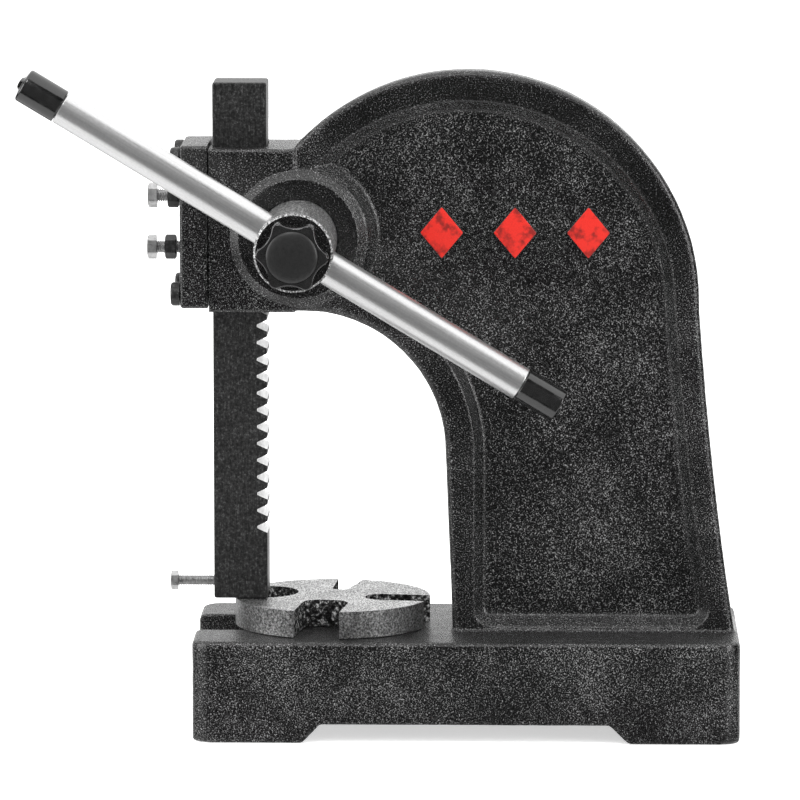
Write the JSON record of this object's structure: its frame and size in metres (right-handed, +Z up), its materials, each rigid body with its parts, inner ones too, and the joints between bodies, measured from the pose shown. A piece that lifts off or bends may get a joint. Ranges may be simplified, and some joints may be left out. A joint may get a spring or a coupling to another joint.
{
  "type": "arbor press",
  "caption": "Small bench arbor press: forked cast base and column, square rack ram, sliding lever bar with a star knob clamp, slotted round anvil plate.",
  "frame": {"origin": "middle of the rear foot's underside, on the bench", "axes": "+X from the front of the press to its back, +Z up, the lever bar on the -Y side"},
  "size_m": [0.3355, 0.1584, 0.3154],
  "materials": {
    "casting_paint": "semi-gloss black paint over rough cast iron",
    "ram_steel": "dark satin, bare on the tooth flanks",
    "shaft_steel": "turned, mid grey",
    "bar_steel": "satin",
    "black_screw": "black oxide",
    "zinc": "bright zinc plate",
    "milled_iron": "machined grey",
    "black_plastic": "gloss black",
    "bronze": "machined"
  },
  "bodies": {
    "press_frame": {"frame_casting": "casting_paint", "face_plate": "casting_paint", "gib_strip": "shaft_steel", "face_plate_screw_1": "black_screw", "face_plate_screw_2": "black_screw", "face_plate_screw_3": "black_screw", "face_plate_screw_4": "black_screw", "gib_screw_upper": "zinc", "gib_screw_lower": "zinc", "gib_locknut_upper": "black_screw", "gib_locknut_lower": "black_screw", "bearing_bush": "bronze", "anvil_pin": "shaft_steel"},
    "pinion": {"pinion_shaft": "shaft_steel", "shaft_end_washer": "zinc", "shaft_end_screw": "black_screw"},
    "lever": {"handle_bar": "bar_steel", "bar_cap_left": "black_plastic", "bar_cap_right": "black_plastic"},
    "stud": {"clamp_stud": "zinc"},
    "knob": {"clamp_knob": "black_plastic", "knob_cap": "black_plastic"},
    "ram_slider": {"ram": "ram_steel"},
    "nose_screw": {"tool_screw": "zinc"},
    "anvil": {"anvil_plate": "milled_iron"}
  },
  "joints": [
    {"name": "pinion_turn", "type": "hinge", "parent": "press_frame", "child": "pinion", "pos_m": [-0.18106, 0, 0.2338], "axis": [0, 1, 0], "range_deg": [0, 385]},
    {"name": "ram_slide", "type": "slide", "parent": "press_frame", "child": "ram_slider", "axis": [0, 0, 1], "range_m": [0, 0.12]},
    {"name": "bar_slide", "type": "slide", "parent": "pinion", "child": "lever", "axis": [0.8563, 0, -0.5165], "range_m": [-0.1, 0.1]},
    {"name": "stud_advance", "type": "slide", "parent": "pinion", "child": "stud", "axis": [0, -1, 0], "range_m": [0, 0.0025]},
    {"name": "knob_turn", "type": "hinge", "parent": "stud", "child": "knob", "pos_m": [-0.18106, -0.0885, 0.2338], "axis": [0, -1, 0], "range_deg": [0, 720]},
    {"name": "tool_screw_advance", "type": "slide", "parent": "ram_slider", "child": "nose_screw", "axis": [1, 0, 0], "range_m": [-0.003, 0.01]},
    {"name": "plate_turn", "type": "hinge", "parent": "press_frame", "child": "anvil", "pos_m": [-0.166, 0, 0.0478], "axis": [0, 0, 1], "continuous": true}
  ],
  "couplings": [
    {"joint": "ram_slide", "follows": "pinion_turn", "m_per_rad": 0.01778},
    {"joint": "knob_turn", "follows": "stud_advance", "rad_per_m": 5026.5}
  ]
}
